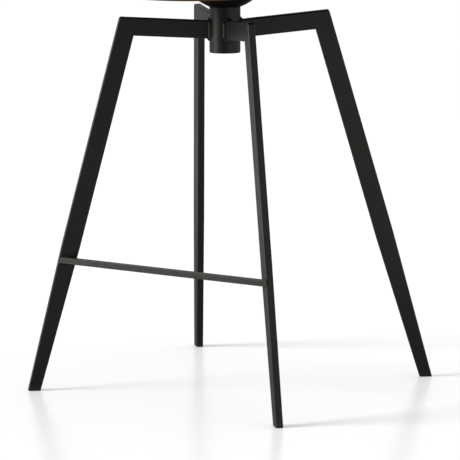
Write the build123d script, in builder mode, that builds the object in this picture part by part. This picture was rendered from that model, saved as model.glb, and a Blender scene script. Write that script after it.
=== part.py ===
"""Swivel counter stool: a black four-legged steel base that carries a turning moulded wooden seat.

Millimetres, +Z up, the floor at Z 0. The front, with the footrest, faces -Y.
The origin is the middle of the footprint, and the swivel axis stands a little in front of it.
"""

import os
from math import asin, atan, cos, degrees, radians, sin, sqrt, tan

from build123d import *

os.makedirs("parts", exist_ok=True)

# Hub tube, a short vertical length of round tube
hub_radius = 25.4
hub_wall = 2.6
hub_length = 74.3
hub_top = 629.6
hub_edge_round = 1.5

# Flat tube of the arms and legs
tube_width = 30.0
tube_thickness = 12.0
tube_wall = 1.5
tube_round = 2.5

# Bent legs: how far the arms sit below the hub's top, the rounding of the bend, the taper,
# and the length past the floor before the feet are cut level
arm_drop = 22.5
corner_round = 4.0
taper_start = 0.6
foot_width = 20.0
leg_surplus = 30.0

# Front pair: its arms' angle from straight ahead, their rise, the reach of its corners and feet, and its lean
front_plan_angle = 48.3
front_rise_angle = 2.8
front_corner_radius = 172.5
front_foot_radius = 332.2
front_lean = -0.6

# Back pair, which reaches further out at the floor
back_plan_angle = 50.5
back_rise_angle = 6.0
back_corner_radius = 170.5
back_foot_radius = 360.8
back_lean = 4.5

# Plastic plugs in the lower ends of the legs
plug_height = 7.0
plug_spigot = 18.0
plug_fit = 0.1
plug_corner = 2.5
plug_round = 1.6

# Footrest, a square bar across the front legs
bar_size = 10.0
bar_top = 223.0
bar_round = 1.0

# Weld beads
hub_bead = 4.5
hub_bead_end = 2.6
bar_bead = 2.2

# Swivel: spindle, bushes, thrust washer and retaining ring
spindle_radius = 10.0
spindle_inset = 14.5
spindle_chamfer = 1.5
running_fit = 0.05
bush_length = 22.0
lower_bush_inset = 22.5
thrust_thickness = 2.3
thrust_bore = 11.0
axial_play = 0.3
swivel_gap = 0.5
retainer_thickness = 1.8
retainer_radius = 17.0
ring_thickness = 1.5
ring_radius = 13.5
ring_depth = 1.2
ring_gap = 8.0
cap_thickness = 4.0
cap_recess = 1.0

# Flared boss on the hub: its slope where it starts, and the radius and turn of its rounded side
boss_slope_angle = 20.5
boss_curve = 79.0
boss_turn_angle = 28.3

# Seat plate and its fasteners
plate_size = 140.0
plate_thickness = 4.0
plate_round = 12.0
bolt_inset = 14.0
bolt_radius = 2.9
bolt_hole_radius = 3.3
bolt_head_flats = 10.0
bolt_head_height = 3.5
washer_radius = 6.0
washer_thickness = 1.2
insert_radius = 4.5
insert_bore = 3.0
insert_length = 8.0

# Wooden block under the seat shell: its height in the middle, and that of the blank that it is hollowed from
block_overhang = 8.0
block_height = 9.0
block_blank_height = 27.0
block_round = 14.0

# Moulded seat shell
shell_thickness = 12.0
shell_side_radius = 2300.0
shell_dish_radius = 1500.0
shell_lip_radius = 400.0
shell_lip_angle = 12.7
dish_offset = 20.0
dish_length = 60.0
seat_front = 190.0
seat_back = 180.0
seat_front_half_width = 182.0
seat_back_half_width = 160.0
seat_front_bow = 10.0
seat_side_bow = 34.0
seat_back_bow = 30.0
seat_corner = 85.0
seat_edge_round = 4.0
rim_tilt_angle = 3.0

# Levels and sizes that follow from the ones above
hub_bottom = hub_top - hub_length
arm_top = hub_top - arm_drop
spindle_bottom = hub_bottom + spindle_inset
lower_bush_top = hub_bottom + lower_bush_inset + bush_length
bolt_spacing = plate_size - 2 * bolt_inset
block_size = plate_size + 2 * block_overhang
boss_bottom = hub_top + swivel_gap
boss_height = boss_curve * (cos(radians(boss_slope_angle)) - cos(radians(boss_slope_angle + boss_turn_angle)))
plate_bottom = boss_bottom + boss_height
plate_top = plate_bottom + plate_thickness
shell_bottom = plate_top + block_height
hub_bore = hub_radius - hub_wall
thrust_top = boss_bottom - axial_play
thrust_bottom = thrust_top - thrust_thickness
retainer_top = lower_bush_top - bush_length - axial_play
ring_top = retainer_top - retainer_thickness
groove_radius = spindle_radius - ring_depth

arm_start = hub_radius / 2
arm_foot = sqrt(hub_radius**2 - (tube_thickness / 2) ** 2)


class BentLeg:
    """An arm and its leg, drawn in one plane: x runs out along the top of the arm and y points up."""

    def __init__(self, plan_angle, rise, corner_radius, foot_radius, lean, swivel_y):
        plan = radians(plan_angle)
        slope = radians(rise)
        corner_height = arm_top + corner_radius * tan(slope)
        self.splay = atan((foot_radius - corner_radius) / corner_height)
        self.length = corner_height / cos(self.splay)
        turn = radians(90) + slope - self.splay
        self.down = Vector(cos(turn), -sin(turn))
        self.inward = Vector(-sin(turn), -cos(turn))
        self.mitre_step = self.inward + self.down * tan(turn / 2)
        self.corner = Vector(corner_radius / cos(slope), 0)
        self.weld_root = (arm_foot - tube_width / 2 * sin(slope)) / cos(slope)
        arm_direction = Vector(cos(slope) * cos(plan), cos(slope) * sin(plan), sin(slope))
        upright_side = Vector(sin(plan), -cos(plan), 0)
        self.plane = Plane(
            origin=(0, swivel_y, arm_top),
            x_dir=arm_direction,
            z_dir=upright_side.rotate(Axis((0, 0, 0), arm_direction), lean),
        )

    def floor_point(self):
        """Where the outer edge of the leg would meet the floor."""
        corner = self.plane.from_local_coords(self.corner)
        along = (self.plane.from_local_coords(self.corner + self.down) - corner).normalized()
        return corner - along * (corner.Z / along.Z)

    def point(self, along, side, inset):
        """Point on the leg's outer (side -1) or inner (side 1) edge, a given way below its corner."""
        tapered = max(0.0, along - taper_start * self.length) / (self.length * (1 - taper_start))
        half_width = (tube_width - (tube_width - foot_width) * tapered) / 2 - inset
        return self.corner + self.inward * (tube_width / 2 + side * half_width) + self.down * along

    def outline(self, inset):
        """Corners of the bent leg's outline, drawn in from its outside by the inset."""
        return [
            Vector(arm_start, inset - tube_width),
            self.corner + self.mitre_step * (tube_width - inset),
            self.point(taper_start * self.length, 1, inset),
            self.point(self.length + leg_surplus, 1, inset),
            self.point(self.length + leg_surplus, -1, inset),
            self.point(taper_start * self.length, -1, inset),
            self.corner + self.mitre_step * inset,
            Vector(arm_start, -inset),
        ]

    def bar(self, inset, mode):
        """Bar along the whole bent leg, smaller than the tube by the inset on every side."""
        with BuildSketch(self.plane) as sketch:
            with BuildLine():
                Polyline(*self.outline(inset), close=True)
            make_face()
            fillet(sketch.vertices().sort_by_distance(self.corner)[0], corner_round - inset)
        extrude(sketch.sketch, amount=tube_thickness / 2 - inset, both=True, mode=mode)

    def tube(self):
        """Hollow tube along the whole bent leg, with rounded edges."""
        self.bar(0, Mode.ADD)
        fillet(faces().filter_by(self.plane).edges(), tube_round)
        self.bar(tube_wall, Mode.SUBTRACT)

    def mitre_plane(self):
        """Plane of the cut between the arm and the leg, facing the leg."""
        across = Vector(1, 0) + self.down
        corner = self.plane.from_local_coords(self.corner)
        return Plane(corner, z_dir=self.plane.from_local_coords(self.corner + across) - corner)

    def forward_face(self):
        """Plane of the wide face that looks forward."""
        forward = -1 if self.plane.z_dir.Y > 0 else 1
        return self.plane.offset(forward * tube_thickness / 2)


def front_leg(side, swivel_y):
    """Front leg on the left (side -1) or on the right (side 1). A lean moves its foot towards the middle."""
    return BentLeg(
        -90 + side * front_plan_angle,
        front_rise_angle,
        front_corner_radius,
        front_foot_radius,
        -side * front_lean,
        swivel_y,
    )


def back_leg(side, swivel_y):
    """Back leg on the left (side -1) or on the right (side 1). A lean moves its foot towards the middle."""
    return BentLeg(
        90 - side * back_plan_angle,
        back_rise_angle,
        back_corner_radius,
        back_foot_radius,
        side * back_lean,
        swivel_y,
    )


# The swivel axis is set so that the feet stand evenly about the origin
axis_y = -(front_leg(1, 0).floor_point().Y + back_leg(1, 0).floor_point().Y) / 2

legs = {
    "front_left": front_leg(-1, axis_y),
    "front_right": front_leg(1, axis_y),
    "back_left": back_leg(-1, axis_y),
    "back_right": back_leg(1, axis_y),
}


def level(height):
    """Horizontal plane on the swivel axis."""
    return Plane((0, axis_y, height))


# Hub tube and its lower plug
with BuildPart() as hub_tube:
    with BuildSketch(level(hub_bottom)):
        Circle(hub_radius)
        Circle(hub_bore, mode=Mode.SUBTRACT)
    extrude(amount=hub_top - hub_bottom)
    fillet(edges().group_by(Axis.Z)[0].sort_by(SortBy.RADIUS)[-1], hub_edge_round)

with BuildPart() as hub_cap:
    with BuildSketch(level(hub_bottom + cap_recess)):
        Circle(hub_bore)
    extrude(amount=cap_thickness)
    chamfer(edges().group_by(Axis.Z)[0], cap_recess)

# Bearings
with BuildPart() as upper_bush:
    with BuildSketch(level(thrust_bottom - bush_length)):
        Circle(hub_bore)
        Circle(spindle_radius + running_fit, mode=Mode.SUBTRACT)
    extrude(amount=bush_length)

with BuildPart() as lower_bush:
    with BuildSketch(level(lower_bush_top - bush_length)):
        Circle(hub_bore)
        Circle(spindle_radius + running_fit, mode=Mode.SUBTRACT)
    extrude(amount=bush_length)

with BuildPart() as thrust_washer:
    with BuildSketch(level(thrust_bottom)):
        Circle(hub_bore)
        Circle(thrust_bore, mode=Mode.SUBTRACT)
    extrude(amount=thrust_thickness)

# Arms, legs and foot plugs, one set for each corner
base_parts = [
    ("hub_tube", hub_tube),
    ("hub_cap", hub_cap),
    ("upper_bush", upper_bush),
    ("lower_bush", lower_bush),
    ("thrust_washer", thrust_washer),
]
for corner_name, bent_leg in legs.items():
    with BuildPart() as arm:
        bent_leg.tube()
        split(bisect_by=bent_leg.mitre_plane(), keep=Keep.BOTTOM)
        with BuildSketch(level(hub_bottom)):
            Circle(hub_radius)
        extrude(amount=hub_top - hub_bottom, mode=Mode.SUBTRACT)

    with BuildPart() as leg:
        bent_leg.tube()
        split(bisect_by=bent_leg.mitre_plane(), keep=Keep.TOP)
        split(bisect_by=level(plug_height), keep=Keep.TOP)

    with BuildPart() as foot_plug:
        bent_leg.bar(0, Mode.ADD)
        split(bisect_by=level(plug_height), keep=Keep.BOTTOM)
        split(bisect_by=level(0), keep=Keep.TOP)
        lowest_and_highest = faces().sort_by(Axis.Z)[0].edges() + faces().sort_by(Axis.Z)[-1].edges()
        fillet(edges() - lowest_and_highest, plug_corner)
        fillet(faces().sort_by(Axis.Z)[0].edges(), plug_round)
        floor_along = bent_leg.length - tube_width / 2 * tan(bent_leg.splay)
        spigot_bottom = floor_along - plug_height / 2
        spigot_top = floor_along - plug_height - plug_spigot
        with BuildSketch(bent_leg.plane):
            with BuildLine():
                Polyline(
                    bent_leg.point(spigot_bottom, -1, tube_wall + plug_fit),
                    bent_leg.point(spigot_top, -1, tube_wall + plug_fit),
                    bent_leg.point(spigot_top, 1, tube_wall + plug_fit),
                    bent_leg.point(spigot_bottom, 1, tube_wall + plug_fit),
                    close=True,
                )
            make_face()
        extrude(amount=tube_thickness / 2 - tube_wall - plug_fit, both=True)

    base_parts += [
        (f"arm_{corner_name}", arm),
        (f"leg_{corner_name}", leg),
        (f"foot_plug_{corner_name}", foot_plug),
    ]

# Footrest bar, cut at both ends to lie on the forward faces of the front legs
left_face = legs["front_left"].forward_face()
right_face = legs["front_right"].forward_face()
bar_along = legs["front_left"].length - (bar_top - bar_size / 2) / cos(legs["front_left"].splay)
bar_front = left_face.from_local_coords(legs["front_left"].point(bar_along, -1, 0)).Y
bar_reach = front_foot_radius

with BuildPart() as footrest_bar:
    with BuildSketch(Plane.YZ.offset(-bar_reach)):
        with Locations((bar_front + bar_size / 2, bar_top - bar_size / 2)):
            Rectangle(bar_size, bar_size)
    extrude(amount=2 * bar_reach)
    fillet(edges().filter_by(Axis.X), bar_round)
    split(bisect_by=left_face, keep=Keep.TOP if left_face.z_dir.X > 0 else Keep.BOTTOM)
    split(bisect_by=right_face, keep=Keep.TOP if right_face.z_dir.X < 0 else Keep.BOTTOM)

# Weld beads up both sides of each arm, ending short of its rounded edges
bead_length = tube_width - 2 * hub_bead_end

with BuildPart() as hub_welds:
    for bent_leg in legs.values():
        for side in (-1, 1):
            root = bent_leg.plane.from_local_coords(
                (bent_leg.weld_root, -tube_width / 2, side * tube_thickness / 2)
            )
            outward = Vector(root.X, root.Y - axis_y, 0)
            run = bent_leg.plane.z_dir.cross(outward).normalized()
            with BuildSketch(Plane(root - run * (bead_length / 2), z_dir=run)):
                Circle(hub_bead)
            extrude(amount=bead_length)
    with BuildSketch(level(hub_bottom)):
        Circle(hub_radius)
    extrude(amount=hub_top - hub_bottom, mode=Mode.SUBTRACT)
    for bent_leg in legs.values():
        bent_leg.bar(0, Mode.SUBTRACT)

# Weld beads above and below the ends of the footrest
with BuildPart() as footrest_welds:
    for face in (left_face, right_face):
        joint_line = face.z_dir.cross(Vector(0, 0, 1)).normalized()
        inward = joint_line if joint_line.Y > 0 else -joint_line
        for height in (bar_top, bar_top - bar_size):
            reach = face.to_local_coords(Vector(0, bar_front, height)).Z / face.z_dir.X
            root = Vector(-reach, bar_front, height) + inward * bar_bead
            with BuildSketch(Plane(root, z_dir=inward)):
                Circle(bar_bead)
            extrude(amount=bar_size / inward.Y - 2 * bar_bead)
    for corner_name in ("front_left", "front_right"):
        legs[corner_name].bar(0, Mode.SUBTRACT)
    with BuildSketch(Plane.YZ.offset(-bar_reach)):
        with Locations((bar_front + bar_size / 2, bar_top - bar_size / 2)):
            Rectangle(bar_size, bar_size)
    extrude(amount=2 * bar_reach, mode=Mode.SUBTRACT)

base_parts += [
    ("footrest_bar", footrest_bar),
    ("hub_welds", hub_welds),
    ("footrest_welds", footrest_welds),
]

# Flared boss that turns on the hub
with BuildPart() as swivel_boss:
    with BuildSketch(Plane((0, axis_y, 0), x_dir=(1, 0, 0), z_dir=(0, -1, 0))):
        with BuildLine():
            boss_side = JernArc(
                (hub_radius, boss_bottom),
                (cos(radians(boss_slope_angle)), sin(radians(boss_slope_angle))),
                boss_curve,
                boss_turn_angle,
            )
            Polyline(
                boss_side @ 1,
                (spindle_radius, plate_bottom),
                (spindle_radius, boss_bottom),
                boss_side @ 0,
            )
        make_face()
    revolve(axis=Axis((0, axis_y, 0), (0, 0, 1)))

# Spindle with a groove for its retaining ring
with BuildPart() as spindle:
    with BuildSketch(level(spindle_bottom)):
        Circle(spindle_radius)
    extrude(amount=plate_top - spindle_bottom)
    chamfer(edges().group_by(Axis.Z)[0], spindle_chamfer)
    with BuildSketch(level(ring_top - ring_thickness)):
        Circle(spindle_radius)
        Circle(groove_radius, mode=Mode.SUBTRACT)
    extrude(amount=ring_thickness, mode=Mode.SUBTRACT)

with BuildPart() as retaining_washer:
    with BuildSketch(level(ring_top)):
        Circle(retainer_radius)
        Circle(spindle_radius, mode=Mode.SUBTRACT)
    extrude(amount=retainer_thickness)

with BuildPart() as retaining_ring:
    with BuildSketch(level(ring_top - ring_thickness)):
        Circle(ring_radius)
        Circle(groove_radius, mode=Mode.SUBTRACT)
        with Locations((0, -ring_radius)):
            Rectangle(ring_gap, 2 * ring_radius, mode=Mode.SUBTRACT)
    extrude(amount=ring_thickness)

# Seat plate
with BuildPart() as seat_plate:
    with BuildSketch(level(plate_bottom)):
        RectangleRounded(plate_size, plate_size, plate_round)
        Circle(spindle_radius, mode=Mode.SUBTRACT)
        with GridLocations(bolt_spacing, bolt_spacing, 2, 2):
            Circle(bolt_hole_radius, mode=Mode.SUBTRACT)
    extrude(amount=plate_thickness)

# Fasteners of the seat plate, the four of a kind in one piece
washer_bottom = plate_bottom - washer_thickness

with BuildPart() as plate_washers:
    with BuildSketch(level(washer_bottom)):
        with GridLocations(bolt_spacing, bolt_spacing, 2, 2):
            Circle(washer_radius)
            Circle(bolt_hole_radius, mode=Mode.SUBTRACT)
    extrude(amount=washer_thickness)

with BuildPart() as plate_bolts:
    with BuildSketch(level(washer_bottom - bolt_head_height)):
        with GridLocations(bolt_spacing, bolt_spacing, 2, 2):
            RegularPolygon(bolt_head_flats / 2, 6, major_radius=False)
    extrude(amount=bolt_head_height)
    with BuildSketch(level(washer_bottom)):
        with GridLocations(bolt_spacing, bolt_spacing, 2, 2):
            Circle(bolt_radius)
    extrude(amount=plate_top + insert_length - washer_bottom)

with BuildPart() as seat_inserts:
    with BuildSketch(level(plate_top)):
        with GridLocations(bolt_spacing, bolt_spacing, 2, 2):
            Circle(insert_radius)
            Circle(insert_bore, mode=Mode.SUBTRACT)
    extrude(amount=insert_length)


def swept_shell(thickness, mode):
    """Curved sheet of the seat: a cross-section that rises at the sides, carried from back to front."""
    back_turn = asin((seat_back + shell_thickness - dish_offset) / shell_dish_radius)
    front_turn = -asin(dish_length / shell_dish_radius)
    with BuildLine(Plane((0, axis_y, shell_bottom), x_dir=(0, 1, 0), z_dir=(1, 0, 0))) as spine:
        dish = CenterArc(
            (dish_offset, shell_dish_radius),
            shell_dish_radius,
            degrees(back_turn) - 90,
            degrees(front_turn - back_turn),
        )
        lip = JernArc(dish @ 1, dish % 1, shell_lip_radius, shell_lip_angle)
        PolarLine(lip @ 1, seat_front + dish_offset - dish_length, direction=lip % 1)
    half_turn = asin((seat_front_half_width + 2 * seat_side_bow) / shell_side_radius)
    top_radius = shell_side_radius - thickness
    with BuildSketch(Plane(spine.line @ 0, x_dir=(1, 0, 0), z_dir=spine.line % 0)) as section:
        with BuildLine():
            below = ThreePointArc(
                (-shell_side_radius * sin(half_turn), shell_side_radius * (1 - cos(half_turn))),
                (0, 0),
                (shell_side_radius * sin(half_turn), shell_side_radius * (1 - cos(half_turn))),
            )
            above = ThreePointArc(
                (-top_radius * sin(half_turn), shell_side_radius - top_radius * cos(half_turn)),
                (0, thickness),
                (top_radius * sin(half_turn), shell_side_radius - top_radius * cos(half_turn)),
            )
            Line(below @ 0, above @ 0)
            Line(below @ 1, above @ 1)
        make_face()
    sweep(section.sketch, path=spine.line, mode=mode)


# Seat block, flat below and hollowed above to fit the shell
with BuildPart() as seat_block:
    with BuildSketch(level(plate_top)):
        RectangleRounded(block_size, block_size, block_round)
        Circle(spindle_radius, mode=Mode.SUBTRACT)
    extrude(amount=block_blank_height)
    with BuildSketch(level(plate_top)):
        with GridLocations(bolt_spacing, bolt_spacing, 2, 2):
            Circle(insert_radius)
    extrude(amount=insert_length, mode=Mode.SUBTRACT)
    swept_shell(block_blank_height, Mode.SUBTRACT)

# Seat shell, trimmed to its rounded plan
with BuildPart() as seat_shell:
    swept_shell(shell_thickness, Mode.ADD)
    front_corner = -seat_front + seat_front_bow
    back_corner = seat_back - seat_back_bow
    side_reach = (seat_front_half_width + seat_back_half_width) / 2 + seat_side_bow
    side_middle = (front_corner + back_corner) / 2
    with BuildSketch(level(hub_top)) as seat_plan:
        with BuildLine():
            ThreePointArc(
                (-seat_front_half_width, front_corner),
                (0, -seat_front),
                (seat_front_half_width, front_corner),
            )
            ThreePointArc(
                (seat_front_half_width, front_corner),
                (side_reach, side_middle),
                (seat_back_half_width, back_corner),
            )
            ThreePointArc(
                (seat_back_half_width, back_corner),
                (0, seat_back),
                (-seat_back_half_width, back_corner),
            )
            ThreePointArc(
                (-seat_back_half_width, back_corner),
                (-side_reach, side_middle),
                (-seat_front_half_width, front_corner),
            )
        make_face()
        fillet(seat_plan.vertices(), seat_corner)
    extrude(amount=seat_front + seat_back, mode=Mode.INTERSECT)
    rim = faces().filter_by(lambda face: abs(face.normal_at().Z) < sin(radians(rim_tilt_angle)))
    fillet(rim.edges().filter_by(Axis.Z, reverse=True), seat_edge_round)

seat_parts = [
    ("swivel_boss", swivel_boss),
    ("spindle", spindle),
    ("retaining_washer", retaining_washer),
    ("retaining_ring", retaining_ring),
    ("seat_plate", seat_plate),
    ("plate_washers", plate_washers),
    ("plate_bolts", plate_bolts),
    ("seat_inserts", seat_inserts),
    ("seat_block", seat_block),
    ("seat_shell", seat_shell),
]

for node_name, builder in base_parts + seat_parts:
    builder.part.label = node_name
    export_step(builder.part, f"parts/{node_name}.step")
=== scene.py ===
"""Swivel counter stool: a black steel base and a moulded walnut seat, dressed for a studio picture."""

import math

import bpy
from mathutils import Matrix, Quaternion, Vector


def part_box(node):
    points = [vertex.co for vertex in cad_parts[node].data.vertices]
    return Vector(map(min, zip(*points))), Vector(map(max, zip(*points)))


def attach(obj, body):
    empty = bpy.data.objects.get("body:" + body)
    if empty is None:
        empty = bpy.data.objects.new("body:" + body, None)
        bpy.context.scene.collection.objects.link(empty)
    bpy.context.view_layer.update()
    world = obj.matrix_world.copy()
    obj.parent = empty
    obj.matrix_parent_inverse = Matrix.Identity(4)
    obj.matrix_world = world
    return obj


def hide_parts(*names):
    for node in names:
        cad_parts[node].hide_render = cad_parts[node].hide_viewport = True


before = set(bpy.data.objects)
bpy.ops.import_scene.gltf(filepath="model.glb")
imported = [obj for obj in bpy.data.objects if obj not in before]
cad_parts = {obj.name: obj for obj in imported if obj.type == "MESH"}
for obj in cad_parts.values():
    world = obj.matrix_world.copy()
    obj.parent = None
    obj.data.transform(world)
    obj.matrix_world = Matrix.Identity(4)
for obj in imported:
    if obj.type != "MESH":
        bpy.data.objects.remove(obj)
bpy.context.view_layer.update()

# Welded base: hub tube, four flat-tube arms, four tapering legs and the footrest bar.
# Mild steel, mitred and welded, ground flush at the corners and powder coated satin black.
# The coat has the fine peel of baked powder, faint streaks along the tubes and a painted sheen at a
# slant.


class Signal:
    """A node's socket that takes part in sums: every operator adds a Math node."""

    def __init__(self, tree, socket=None):
        self.tree = tree
        self.socket = socket

    def node(self, kind, settings=None, inputs=None, output=0):
        """Adds a node, sets it up, feeds its sockets and gives back one of its outputs."""
        made = self.tree.nodes.new(kind)
        for name, value in (settings or {}).items():
            if name == "stops":
                ramp = made.color_ramp
                while len(ramp.elements) < len(value):
                    ramp.elements.new(1.0)
                for stop, (position, colour) in zip(ramp.elements, value):
                    stop.position = position
                    stop.color = (*colour, 1.0)
            else:
                setattr(made, name, value)
        for name, value in (inputs or {}).items():
            if isinstance(value, Signal):
                self.tree.links.new(value.socket, made.inputs[name])
            else:
                made.inputs[name].default_value = value
        return Signal(self.tree, made.outputs[output]) if made.outputs else None

    def sum_of(self, operation, first, second=0.0):
        """Result of one Math node."""
        return self.node("ShaderNodeMath", {"operation": operation}, {0: first, 1: second})

    def __add__(self, other):
        return self.sum_of("ADD", self, other)

    def __radd__(self, other):
        return self.sum_of("ADD", other, self)

    def __sub__(self, other):
        return self.sum_of("SUBTRACT", self, other)

    def __rsub__(self, other):
        return self.sum_of("SUBTRACT", other, self)

    def __mul__(self, other):
        return self.sum_of("MULTIPLY", self, other)

    def __rmul__(self, other):
        return self.sum_of("MULTIPLY", other, self)

    def __truediv__(self, other):
        return self.sum_of("DIVIDE", self, other)

    def __pow__(self, other):
        return self.sum_of("POWER", self, other)


def open_finish(name):
    """New material and a signal to build its nodes with."""
    material = bpy.data.materials.new(name)
    material.use_nodes = True
    material.node_tree.nodes.clear()
    return material, Signal(material.node_tree)


def close_finish(signal, surface):
    """Joins a shader to the material's output."""
    signal.node("ShaderNodeOutputMaterial", {}, {"Surface": surface})


def grain_noise(signal, sizes, detail=2.0, shift=0.0):
    """Noise over the piece, with the sizes of its features along X, Y and Z in millimetres."""
    place = signal.node("ShaderNodeTexCoord", output="Object")
    stretched = signal.node(
        "ShaderNodeMapping",
        {},
        {
            "Vector": place,
            "Location": (shift, shift, shift),
            "Scale": [millimetres_in_metre / size for size in sizes],
        },
    )
    return signal.node(
        "ShaderNodeTexNoise",
        {},
        {"Vector": stretched, "Scale": 1.0, "Detail": detail, "Roughness": 0.5},
    )


def blend_colours(signal, factor, first, second):
    """Colour between two others."""
    return signal.node(
        "ShaderNodeMix",
        {"data_type": "RGBA"},
        {"Factor": factor, 6: first, 7: second},
        output=2,
    )


def raised(signal, height, strength, depth):
    """Surface normal with a height laid over it, its full depth in metres."""
    return signal.node(
        "ShaderNodeBump",
        {},
        {"Height": height, "Strength": strength, "Distance": depth},
    )


def matt_colour_at_slant(signal, glossy, colour, share):
    """Shader that gives way by a share to a matt colour at a slant, as a finely rough surface does; a
    colour paler than the piece's own paints a sheen there.
    """
    facing_away = signal.node("ShaderNodeLayerWeight", {}, {"Blend": 0.5}, output="Facing")
    slant = signal.node(
        "ShaderNodeMapRange",
        {"interpolation_type": "SMOOTHSTEP"},
        {"Value": facing_away, "From Min": slant_start, "From Max": 1.0, "To Max": share},
    )
    matt_colour = signal.node(
        "ShaderNodeBsdfPrincipled",
        {},
        {"Base Color": colour, "Roughness": 0.9, "Specular IOR Level": 0.0},
    )
    return signal.node("ShaderNodeMixShader", {}, {0: slant, 1: glossy, 2: matt_colour})


def dress(material, *node_names):
    """Gives a finish to CAD nodes."""
    for node_name in node_names:
        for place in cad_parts[node_name].material_slots:
            place.material = material


millimetres_in_metre = 1000
corners = ("front_left", "front_right", "back_left", "back_right")
coat_dark = (0.0024, 0.0023, 0.0021, 1.0)
coat_light = (0.006, 0.0057, 0.0052, 1.0)
coat_peel_depth = 0.00012
slant_start = 0.5
# Painted sheen: a flat grey, paler than the coat, that stands in for its shine at a slant.
painted_sheen_colour = (0.03, 0.029, 0.027, 1.0)
painted_sheen_share = 0.6

black_coat, coat = open_finish("satin_black_powder_coat")
coat_streaks = grain_noise(coat, (4, 4, 90), detail=3.0)
coat_clouds = grain_noise(coat, (40, 40, 60), detail=2.0, shift=7.0)
coat_peel = grain_noise(coat, (1.1, 1.1, 1.1), detail=1.0)
coat_colour = blend_colours(coat, coat_streaks * 0.6 + coat_clouds * 0.4, coat_dark, coat_light)
coat_satin = coat.node(
    "ShaderNodeBsdfPrincipled",
    {},
    {
        "Base Color": coat_colour,
        "Roughness": 0.32 + coat_clouds * 0.1 + coat_streaks * 0.08,
        "Specular IOR Level": 0.26,
        "Specular Tint": (1.0, 0.97, 0.9, 1.0),
        "Normal": raised(coat, coat_peel, 0.25, coat_peel_depth),
    },
)
# At a slant the coat gives way to the painted sheen, a flat grey paler than the coat.
close_finish(coat, matt_colour_at_slant(coat, coat_satin, painted_sheen_colour, painted_sheen_share))
dress(black_coat, "hub_tube", "footrest_bar")
dress(black_coat, *(f"arm_{corner}" for corner in corners))
dress(black_coat, *(f"leg_{corner}" for corner in corners))

# Weld beads: all round each arm at the hub, and above and below the ends of the footrest.
# Short runs of weld metal with the ripples of the pool, coated along with the tubes.


def bead_group(name):
    """Geometry nodes that run a rippled bead with rounded ends along every edge of a mesh."""
    tree = bpy.data.node_groups.new(name, "GeometryNodeTree")
    tree.interface.new_socket("Runs", in_out="INPUT", socket_type="NodeSocketGeometry")
    for label in ("Bead radius", "Ripple pitch", "Ripple depth"):
        tree.interface.new_socket(label, in_out="INPUT", socket_type="NodeSocketFloat")
    tree.interface.new_socket("Finish", in_out="INPUT", socket_type="NodeSocketMaterial")
    tree.interface.new_socket("Beads", in_out="OUTPUT", socket_type="NodeSocketGeometry")

    given = {socket.name: Signal(tree, socket) for socket in tree.nodes.new("NodeGroupInput").outputs}
    pitch = given["Ripple pitch"]
    nodes = Signal(tree)
    path = nodes.node("GeometryNodeMeshToCurve", {}, {"Mesh": given["Runs"]})
    path = nodes.node(
        "GeometryNodeResampleCurve",
        {"mode": "LENGTH"},
        {"Curve": path, "Length": pitch / steps_per_ripple},
    )
    along = nodes.node("GeometryNodeSplineParameter", output="Length")
    length = nodes.node("GeometryNodeSplineLength", output="Length")
    ripple = 1 - nodes.sum_of("ABSOLUTE", nodes.sum_of("SINE", along / pitch * math.pi))
    to_end = nodes.sum_of("MINIMUM", along, length - along)
    end_share = nodes.sum_of("MAXIMUM", 1 - to_end / given["Bead radius"])
    rounded = nodes.sum_of("SQRT", bead_bluntness - end_share * end_share)
    radius = (1 - ripple * given["Ripple depth"]) * rounded * given["Bead radius"]
    ring = nodes.node("GeometryNodeCurvePrimitiveCircle", {}, {"Resolution": bead_sides, "Radius": 1.0})
    bead = nodes.node(
        "GeometryNodeCurveToMesh",
        {},
        {"Curve": path, "Profile Curve": ring, "Scale": radius, "Fill Caps": True},
    )
    bead = nodes.node("GeometryNodeSetShadeSmooth", {}, {"Geometry": bead})
    bead = nodes.node("GeometryNodeRealizeInstances", {}, {"Geometry": bead})
    bead = nodes.node("GeometryNodeSetMaterial", {}, {"Geometry": bead, "Material": given["Finish"]})
    nodes.node("NodeGroupOutput", {}, {"Beads": bead})
    return tree


def weld(name, runs, radius, node_name):
    """Beads along the given runs, in place of a CAD node."""
    points = [point for run in runs for point in run]
    edges = [(2 * count, 2 * count + 1) for count in range(len(runs))]
    lines = bpy.data.meshes.new(name + "_runs")
    lines.from_pydata(points, edges, [])
    piece = bpy.data.objects.new(name, lines)
    bpy.context.scene.collection.objects.link(piece)
    modifier = piece.modifiers.new("bead", "NODES")
    modifier.node_group = bead_nodes
    settings = {
        "Bead radius": radius,
        "Ripple pitch": bead_pitch,
        "Ripple depth": bead_ripple,
        "Finish": black_coat,
    }
    for socket in bead_nodes.interface.items_tree:
        if socket.in_out == "INPUT" and socket.name in settings:
            modifier[socket.identifier] = settings[socket.name]
    evaluated = piece.evaluated_get(bpy.context.evaluated_depsgraph_get())
    beads = bpy.data.meshes.new_from_object(evaluated)
    piece.modifiers.remove(modifier)
    piece.data = beads
    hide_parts(node_name)
    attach(piece, "base")


bead_pitch = 0.0022
bead_ripple = 0.05
bead_sides = 20
bead_bluntness = 1.02
steps_per_ripple = 10
bead_nodes = bead_group("weld_bead")

hub_low, hub_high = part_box("hub_tube")
hub_axis = (hub_low + hub_high) / 2
hub_radius = (hub_high.x - hub_low.x) / 2
upward = Vector((0, 0, 1))
arm_half_thickness = 0.006
arm_width = 0.03
arm_drop = 0.0225
arm_start = Vector((hub_axis.x, hub_axis.y, hub_high.z - arm_drop))
arm_foot = math.sqrt(hub_radius**2 - arm_half_thickness**2)
hub_bead_radius = 0.0042

# Front and back pairs of arms: to the front or the back, then plan, rise and lean in degrees.
arm_pairs = ((-1, 48.3, 2.8, -0.6), (1, 50.5, 6.0, 4.5))

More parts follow.
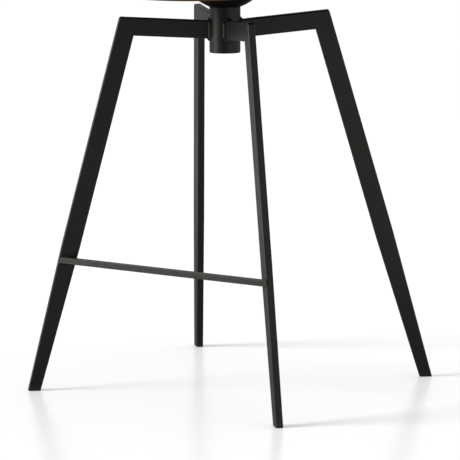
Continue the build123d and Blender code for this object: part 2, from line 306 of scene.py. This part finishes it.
hub_runs = []
for fore, plan_degrees, rise_degrees, lean_degrees in arm_pairs:
    plan, rise, lean = (math.radians(turn) for turn in (plan_degrees, rise_degrees, lean_degrees))
    for aside in (-1, 1):
        outward = Vector((aside * math.sin(plan), fore * math.cos(plan), 0))
        along = outward * math.cos(rise) + upward * math.sin(rise)
        face = outward.cross(upward)
        face.rotate(Quaternion(along, aside * fore * lean))
        below = face.cross(along)
        below *= -1 if below.z > 0 else 1
        rims = []
        for depth in (0, arm_width):
            reach = (arm_foot - depth * math.sin(rise)) / math.cos(rise)
            middle = arm_start + along * reach + below * depth
            rims.append([middle + face * side * arm_half_thickness for side in (-1, 1)])
        hub_runs += rims
        hub_runs += zip(*rims)
weld("hub_weld_beads", hub_runs, hub_bead_radius, "hub_welds")

bar_bead_radius = 0.0022
same_level = 0.0001
bar_low, bar_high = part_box("footrest_bar")
bar_points = [vertex.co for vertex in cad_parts["footrest_bar"].data.vertices]
bar_runs = []
for level in (bar_low.z, bar_high.z):
    flat = [point for point in bar_points if abs(point.z - level) < same_level]
    front = min(point.y for point in flat)
    back = max(point.y for point in flat)
    for side in (-1, 1):
        ends = []
        for edge in (front, back):
            row = [point for point in flat if abs(point.y - edge) < same_level]
            ends.append(tuple(max(row, key=lambda point: side * point.x)))
        bar_runs.append(ends)
weld("footrest_weld_beads", bar_runs, bar_bead_radius, "footrest_welds")

# Plastic plugs: one in the lower end of each leg and one in the lower end of the hub tube.
# Moulded black polyethylene, pushed in, softer in its shine than the coat beside it.

plastic_dark = (0.008, 0.008, 0.008, 1.0)
plastic_light = (0.016, 0.016, 0.016, 1.0)
plastic_grain_depth = 0.0001

black_plastic, plastic = open_finish("moulded_black_plastic")
plastic_scuffs = grain_noise(plastic, (3, 3, 3), detail=3.0)
plastic_grain = grain_noise(plastic, (0.6, 0.6, 0.6), detail=1.0)
close_finish(
    plastic,
    plastic.node(
        "ShaderNodeBsdfPrincipled",
        {},
        {
            "Base Color": blend_colours(plastic, plastic_scuffs, plastic_dark, plastic_light),
            "Roughness": 0.5 + plastic_scuffs * 0.15,
            "Specular IOR Level": 0.25,
            "Normal": raised(plastic, plastic_grain, 0.3, plastic_grain_depth),
        },
    ),
)
dress(black_plastic, "hub_cap")
dress(black_plastic, *(f"foot_plug_{corner}" for corner in corners))

# Swivel bearings: two nylon bushes pressed into the hub tube and a black plastic washer under the boss.
# The bushes are turned from bar, and the washer is cut from sheet.

nylon_shade = (0.55, 0.53, 0.47, 1.0)
nylon_light = (0.68, 0.66, 0.6, 1.0)
nylon_ring_depth = 0.0001

bush_nylon, nylon = open_finish("turned_natural_nylon")
nylon_rings = grain_noise(nylon, (60, 60, 0.5), detail=1.0)
close_finish(
    nylon,
    nylon.node(
        "ShaderNodeBsdfPrincipled",
        {},
        {
            "Base Color": blend_colours(nylon, nylon_rings, nylon_shade, nylon_light),
            "Roughness": 0.35 + nylon_rings * 0.2,
            "Normal": raised(nylon, nylon_rings, 0.3, nylon_ring_depth),
        },
    ),
)
dress(bush_nylon, "upper_bush", "lower_bush")
dress(black_plastic, "thrust_washer")

# Swivel boss and seat plate: a turned steel boss flares up from the hub and is welded to a square plate.
# Painted a dull matt black, unlike the coat of the base, and turning with the seat.

matt_dark = (0.002, 0.0019, 0.0017, 1.0)
matt_light = (0.0048, 0.0045, 0.0041, 1.0)
matt_speck_depth = 0.0001

matt_black, matt = open_finish("matt_black_paint")
matt_specks = grain_noise(matt, (1.5, 1.5, 1.5), detail=3.0)
close_finish(
    matt,
    matt.node(
        "ShaderNodeBsdfPrincipled",
        {},
        {
            "Base Color": blend_colours(matt, matt_specks, matt_dark, matt_light),
            "Roughness": 0.55 + matt_specks * 0.2,
            "Specular IOR Level": 0.05,
            "Normal": raised(matt, matt_specks, 0.2, matt_speck_depth),
        },
    ),
)
dress(matt_black, "swivel_boss", "seat_plate")

# Spindle with its retaining washer and ring, and the screws and washers of the seat plate.
# Bright zinc-plated steel with fine turning marks.

steel_dark = (0.42, 0.42, 0.43, 1.0)
steel_light = (0.62, 0.62, 0.62, 1.0)
steel_mark_depth = 0.0001

bright_steel, steel = open_finish("zinc_plated_steel")
steel_marks = grain_noise(steel, (8, 8, 0.35), detail=2.0)
steel_bloom = grain_noise(steel, (9, 9, 9), detail=3.0)
close_finish(
    steel,
    steel.node(
        "ShaderNodeBsdfPrincipled",
        {},
        {
            "Base Color": blend_colours(steel, steel_bloom, steel_dark, steel_light),
            "Metallic": 1.0,
            "Roughness": 0.22 + steel_bloom * 0.2,
            "Normal": raised(steel, steel_marks, 0.2, steel_mark_depth),
        },
    ),
)
dress(
    bright_steel,
    "spindle",
    "retaining_washer",
    "retaining_ring",
    "plate_washers",
    "plate_bolts",
)

# Threaded inserts: four turned brass sleeves, pressed into the seat block for the screws of the plate.
# The brass has dulled a little in patches.

brass_dark = (0.33, 0.19, 0.08, 1.0)
brass_light = (0.58, 0.37, 0.17, 1.0)

turned_brass, brass = open_finish("turned_brass")
brass_stain = grain_noise(brass, (6, 6, 6), detail=4.0)
close_finish(
    brass,
    brass.node(
        "ShaderNodeBsdfPrincipled",
        {},
        {
            "Base Color": blend_colours(brass, brass_stain, brass_dark, brass_light),
            "Metallic": 1.0,
            "Roughness": 0.25 + brass_stain * 0.25,
        },
    ),
)
dress(turned_brass, "seat_inserts")

# Seat block: pale plywood, hollowed above to the curve of the shell and glued to it.
# Its sawn edges show the plies, light long grain and darker end grain in turn.

ply_thickness = 1.5
ply_fibre_depth = 0.0002
birch_light = (0.56, 0.41, 0.25, 1.0)
birch_dark = (0.34, 0.22, 0.12, 1.0)


def millimetres_along(signal, axis):
    """Place on the piece along one axis, in millimetres."""
    place = signal.node("ShaderNodeTexCoord", output="Object")
    metres = signal.node("ShaderNodeSeparateXYZ", {}, {"Vector": place}, output=axis)
    return metres * millimetres_in_metre


def ply_layers(signal, depth):
    """Nothing on every other ply through a sheet's depth and one on the plies between."""
    layer = signal.sum_of("PINGPONG", depth, ply_thickness)
    return signal.node(
        "ShaderNodeMapRange",
        {},
        {"Value": layer, "From Min": 0.3 * ply_thickness, "From Max": 0.7 * ply_thickness},
    )


pale_plywood, ply = open_finish("pale_plywood")
ply_band = ply_layers(ply, millimetres_along(ply, "Z"))
ply_fibre = grain_noise(ply, (0.7, 30, 0.7), detail=3.0)
close_finish(
    ply,
    ply.node(
        "ShaderNodeBsdfPrincipled",
        {},
        {
            "Base Color": blend_colours(
                ply, ply_band * 0.55 + ply_fibre * 0.45, birch_dark, birch_light
            ),
            "Roughness": 0.6 + ply_fibre * 0.2,
            "Normal": raised(ply, ply_fibre, 0.3, ply_fibre_depth),
        },
    ),
)
dress(pale_plywood, "seat_block")

# Seat shell: bent plywood faced with walnut veneer, its grain running from front to back.
# Pressed in a mould, trimmed and rounded at the edge, where plies show, and lacquered to a low sheen.

walnut_light = (0.115, 0.065, 0.034)
walnut_middle = (0.08, 0.044, 0.023)
walnut_dark = (0.036, 0.02, 0.011)
pore_colour = (0.016, 0.009, 0.005, 1.0)
pore_depth = 0.0002
ring_width = 13.0
ring_warp = 120.0
ring_wave = 7.0
lacquer_slant_share = 0.9

walnut, wood = open_finish("walnut_veneer")
wood_across = millimetres_along(wood, "X")
wood_warp = grain_noise(wood, (90, 420, 90), detail=2.0)
wood_wave = grain_noise(wood, (14, 120, 14), detail=2.0, shift=3.0)
ring_place = (wood_across + wood_warp * ring_warp + wood_wave * ring_wave) / ring_width
ring_share = wood.sum_of("FRACT", ring_place)
ring_colour = wood.node(
    "ShaderNodeValToRGB",
    {
        "stops": [
            (0.0, walnut_middle),
            (0.35, walnut_light),
            (0.72, walnut_middle),
            (0.92, walnut_dark),
            (1.0, walnut_middle),
        ]
    },
    {"Fac": ring_share},
)
wood_fibre = grain_noise(wood, (0.9, 46, 0.9), detail=3.0)
wood_pores = wood.node(
    "ShaderNodeMapRange",
    {},
    {"Value": grain_noise(wood, (0.55, 9, 0.55), detail=1.0), "From Min": 0.58, "From Max": 0.7},
)
wood_tone = blend_colours(wood, wood_fibre * 0.5, ring_colour, (*walnut_dark, 1.0))
wood_tone = blend_colours(wood, wood_pores * 0.55, wood_tone, pore_colour)

# Depth of a place in the sheet, from its hollow below to its upper face, for the plies at the rim:
# a dish turns into a lip that falls off straight at the front, and both sides rise in one curve.

shell_thickness = 12.0
block_height = 9.0
side_curve = 2300.0
dish_curve = 1500.0
dish_offset = 20.0
dish_length = 60.0
lip_curve = 400.0
lip_degrees = 12.7
plate_top = millimetres_in_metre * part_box("seat_plate")[1].z
shell_level = plate_top + block_height
dish_middle = millimetres_in_metre * hub_axis.y + dish_offset
dish_turn = math.asin(dish_length / dish_curve)
lip_turn = math.radians(lip_degrees) - dish_turn
lip_fore = (dish_curve + lip_curve) * math.sin(dish_turn)
lip_level = dish_curve - (dish_curve + lip_curve) * math.cos(dish_turn)

dish_fore = dish_middle - millimetres_along(wood, "Y")
dish_rise = millimetres_along(wood, "Z") - shell_level
dish_depth = dish_curve - (dish_fore**2 + (dish_curve - dish_rise) ** 2) ** 0.5
past_lip = dish_fore - lip_fore
over_lip = dish_rise - lip_level
lip_depth = (past_lip**2 + over_lip**2) ** 0.5 - lip_curve
front_depth = past_lip * math.sin(lip_turn) + over_lip * math.cos(lip_turn) - lip_curve
on_lip = wood.sum_of(
    "GREATER_THAN",
    dish_fore * math.cos(dish_turn) - (dish_curve - dish_rise) * math.sin(dish_turn),
    0.0,
)
on_front = wood.sum_of(
    "GREATER_THAN",
    past_lip * math.cos(lip_turn) - over_lip * math.sin(lip_turn),
    0.0,
)
middle_depth = dish_depth + on_lip * (lip_depth - dish_depth)
middle_depth = middle_depth + on_front * (front_depth - middle_depth)
sheet_depth = side_curve - (wood_across**2 + (side_curve - middle_depth) ** 2) ** 0.5

rim_light = (0.1, 0.058, 0.031, 1.0)
rim_dark = (0.052, 0.029, 0.015, 1.0)
face_veneer = 0.7
from_faces = shell_thickness / 2 - wood.sum_of("ABSOLUTE", sheet_depth - shell_thickness / 2)
rim = wood.node(
    "ShaderNodeMapRange",
    {},
    {"Value": from_faces, "From Min": 0.8 * face_veneer, "From Max": 1.2 * face_veneer},
)
rim_band = ply_layers(wood, sheet_depth)
rim_tone = blend_colours(wood, rim_band * 0.7 + wood_fibre * 0.3, rim_dark, rim_light)
wood_tone = blend_colours(wood, rim, wood_tone, rim_tone)
wood_lacquer = wood.node(
    "ShaderNodeBsdfPrincipled",
    {},
    {
        "Base Color": wood_tone,
        "Roughness": 0.42 + wood_fibre * 0.12 + wood_pores * 0.15 + rim * 0.15,
        "Specular IOR Level": 0.06,
        "Normal": raised(wood, 1 - wood_pores * 0.6 - wood_fibre * 0.4, 0.25, pore_depth),
    },
)
close_finish(wood, matt_colour_at_slant(wood, wood_lacquer, wood_tone, lacquer_slant_share))
dress(walnut, "seat_shell")

# Studio: a glossy white floor that runs out of sight, a low main light on the camera's left,
# a broad light overhead and a pale room.

floor_half = 14.0
floor_gloss = 0.2
floor_own_light = 0.15
floor_bounce_level = 0.6

floor_mesh = bpy.data.meshes.new("studio_floor")
floor_mesh.from_pydata(
    [(x, y, 0) for x, y in ((-1, -1), (1, -1), (1, 1), (-1, 1))], [], [(0, 1, 2, 3)]
)
floor_mesh.transform(Matrix.Scale(floor_half, 4))
studio_floor = bpy.data.objects.new("studio_floor", floor_mesh)
bpy.context.scene.collection.objects.link(studio_floor)

white_floor, floor = open_finish("white_studio_floor")


def seen_directly(signal):
    """One for rays from the camera, off a gloss or through a clear piece, and nothing for the rest."""
    rays = ("Is Camera Ray", "Is Glossy Ray", "Is Transmission Ray")
    camera_ray, glossy_ray, clear_ray = (
        signal.node("ShaderNodeLightPath", output=ray) for ray in rays
    )
    either = signal.sum_of("MAXIMUM", camera_ray, glossy_ray)
    return signal.sum_of("MAXIMUM", either, clear_ray)


def grey(level):
    """Colour of one level from black to white."""
    return (level, level, level, 1.0)


floor_matt = 1 - floor_gloss
floor_light = floor.node(
    "ShaderNodeEmission", {}, {"Color": grey(1.0), "Strength": floor_matt * floor_own_light}
)
floor_white = floor.node("ShaderNodeBsdfDiffuse", {}, {"Color": grey(floor_matt)})
floor_shine = floor.node(
    "ShaderNodeBsdfGlossy", {}, {"Color": grey(floor_gloss), "Roughness": 0.24}
)
floor_shown = floor.node("ShaderNodeAddShader", {}, {0: floor_light, 1: floor_white})
floor_shown = floor.node("ShaderNodeAddShader", {}, {0: floor_shown, 1: floor_shine})
floor_bounce = floor.node("ShaderNodeBsdfDiffuse", {}, {"Color": grey(floor_bounce_level)})
close_finish(
    floor,
    floor.node(
        "ShaderNodeMixShader",
        {},
        {0: seen_directly(floor), 1: floor_bounce, 2: floor_shown},
    ),
)
floor_mesh.materials.append(white_floor)

room_glow = 0.35
room = bpy.data.worlds.new("pale_room")
room.use_nodes = True
room.node_tree.nodes.clear()
bpy.context.scene.world = room
air = Signal(room.node_tree)
air.node(
    "ShaderNodeOutputWorld",
    {},
    {
        "Surface": air.node(
            "ShaderNodeBackground",
            {},
            {"Color": grey(1.0), "Strength": room_glow + seen_directly(air) * (1 - room_glow)},
        )
    },
)


def hang_lamp(name, place, spread, strength):
    """Distant lamp on the side of a place: the width of its disc in degrees, then its strength."""
    lamp = bpy.data.lights.new(name, "SUN")
    lamp.angle = math.radians(spread)
    lamp.energy = strength
    holder = bpy.data.objects.new(name, lamp)
    holder.location = place
    holder.rotation_mode = "QUATERNION"
    holder.rotation_quaternion = (holder.location - stool_middle).to_track_quat("Z", "Y")
    bpy.context.scene.collection.objects.link(holder)


stool_middle = Vector((0, 0, 0.35))
hang_lamp("main_light", (-1.54, -1.62, 1.12), 24, 3.6)
hang_lamp("top_light", (0.3, 0.6, 3.2), 80, 0.6)

# Cards round the stool, which show in shine alone: a black one on the camera's side keeps the front of
# the hub and the faces of the legs dark, and grey ones at the back dull what is seen at a slant.
# A last one lies on the floor and darkens the legs towards their feet.

camera_azimuth_degrees = 34.422
card_distance = 2.2
card_height = 2.0
card_fade = 0.3
near_edge_fade = 0.15
lying_card_reach = (-0.7, 2.2)
lying_card_half_width = 0.9
lying_card_lift = 0.0005


def faded(signal, share, width):
    """Nothing at an edge of a card, rising softly to one over a width that is a share of the card's."""
    return signal.node(
        "ShaderNodeMapRange",
        {"interpolation_type": "SMOOTHSTEP"},
        {"Value": share, "From Min": 0.0, "From Max": width},
    )


def heading_at(turn):
    """Level direction from the stool at a turn to the left of the camera, in degrees."""
    heading = math.radians(camera_azimuth_degrees - 90 - turn)
    return Vector((math.cos(heading), math.sin(heading), 0))


def set_card(name, points, level):
    """Card of one grey level between four points, with soft edges and clear from behind."""
    mesh = bpy.data.meshes.new(name)
    mesh.from_pydata(points, [], [(0, 2, 3, 1)])
    shares = mesh.uv_layers.new(name="shares")
    for corner, share in zip(shares.data, ((0, 0), (1, 0), (1, 1), (0, 1))):
        corner.uv = share
    card = bpy.data.objects.new(name, mesh)
    card.visible_camera = False
    card.visible_diffuse = False
    card.visible_shadow = False
    bpy.context.scene.collection.objects.link(card)
    material, signal = open_finish(name)
    share = signal.node("ShaderNodeTexCoord", output="UV")
    across = signal.node("ShaderNodeSeparateXYZ", {}, {"Vector": share}, output="X")
    onward = signal.node("ShaderNodeSeparateXYZ", {}, {"Vector": share}, output="Y")
    cover = faded(signal, across, card_fade) * faded(signal, 1 - across, card_fade)
    cover = cover * faded(signal, onward, near_edge_fade) * faded(signal, 1 - onward, card_fade)
    cover = cover * (1 - signal.node("ShaderNodeNewGeometry", output="Backfacing"))
    tone = signal.node("ShaderNodeEmission", {}, {"Color": grey(level), "Strength": 1.0})
    clear = signal.node("ShaderNodeBsdfTransparent")
    close_finish(signal, signal.node("ShaderNodeMixShader", {}, {0: cover, 1: clear, 2: tone}))
    mesh.materials.append(material)


def stand_card(name, first_turn, last_turn, level):
    """Upright card between two turns to the left of the camera."""
    points = []
    for turn in (first_turn, last_turn):
        foot = heading_at(turn) * card_distance
        points += [foot, foot + upward * card_height]
    set_card(name, points, level)


def lay_card(name, turn, level):
    """Card just above the floor, along one turn to the left of the camera."""
    along = heading_at(turn)
    aside = along.cross(upward) * lying_card_half_width
    points = []
    for edge in (-aside, aside):
        points += [edge + along * reach + upward * lying_card_lift for reach in lying_card_reach]
    set_card(name, points, level)


stand_card("black_card", -15, 43, 0.005)
stand_card("left_grey_card", 100, 166, 0.6)
stand_card("right_grey_card", -166, -100, 0.5)
lay_card("low_grey_card", 155, 0.48)

# Camera at the photograph's height and angle, some way off with a long lens.
# It stands upright, looks down a little and is turned by a hair from the hub.

camera_azimuth = math.radians(camera_azimuth_degrees)
camera_distance = 4.29912
camera_height = 0.911984
camera_pitch = math.radians(8.593)
camera_pan = math.radians(0.11)
camera_lens = 206.424

sight = Vector((-math.sin(camera_azimuth), math.cos(camera_azimuth), 0))
stand = Vector((hub_axis.x, hub_axis.y, camera_height)) - sight * camera_distance
turned = Matrix.Rotation(camera_azimuth - camera_pan, 3, "Z")
tilted = Matrix.Rotation(math.pi / 2 - camera_pitch, 3, "X")

camera_data = bpy.data.cameras.new("camera")
camera_data.sensor_width = 36.0
camera_data.lens = camera_lens
camera = bpy.data.objects.new("camera", camera_data)
camera.matrix_world = Matrix.Translation(stand) @ (turned @ tilted).to_4x4()
bpy.context.scene.collection.objects.link(camera)
bpy.context.scene.camera = camera
bpy.context.scene.view_settings.view_transform = "Standard"
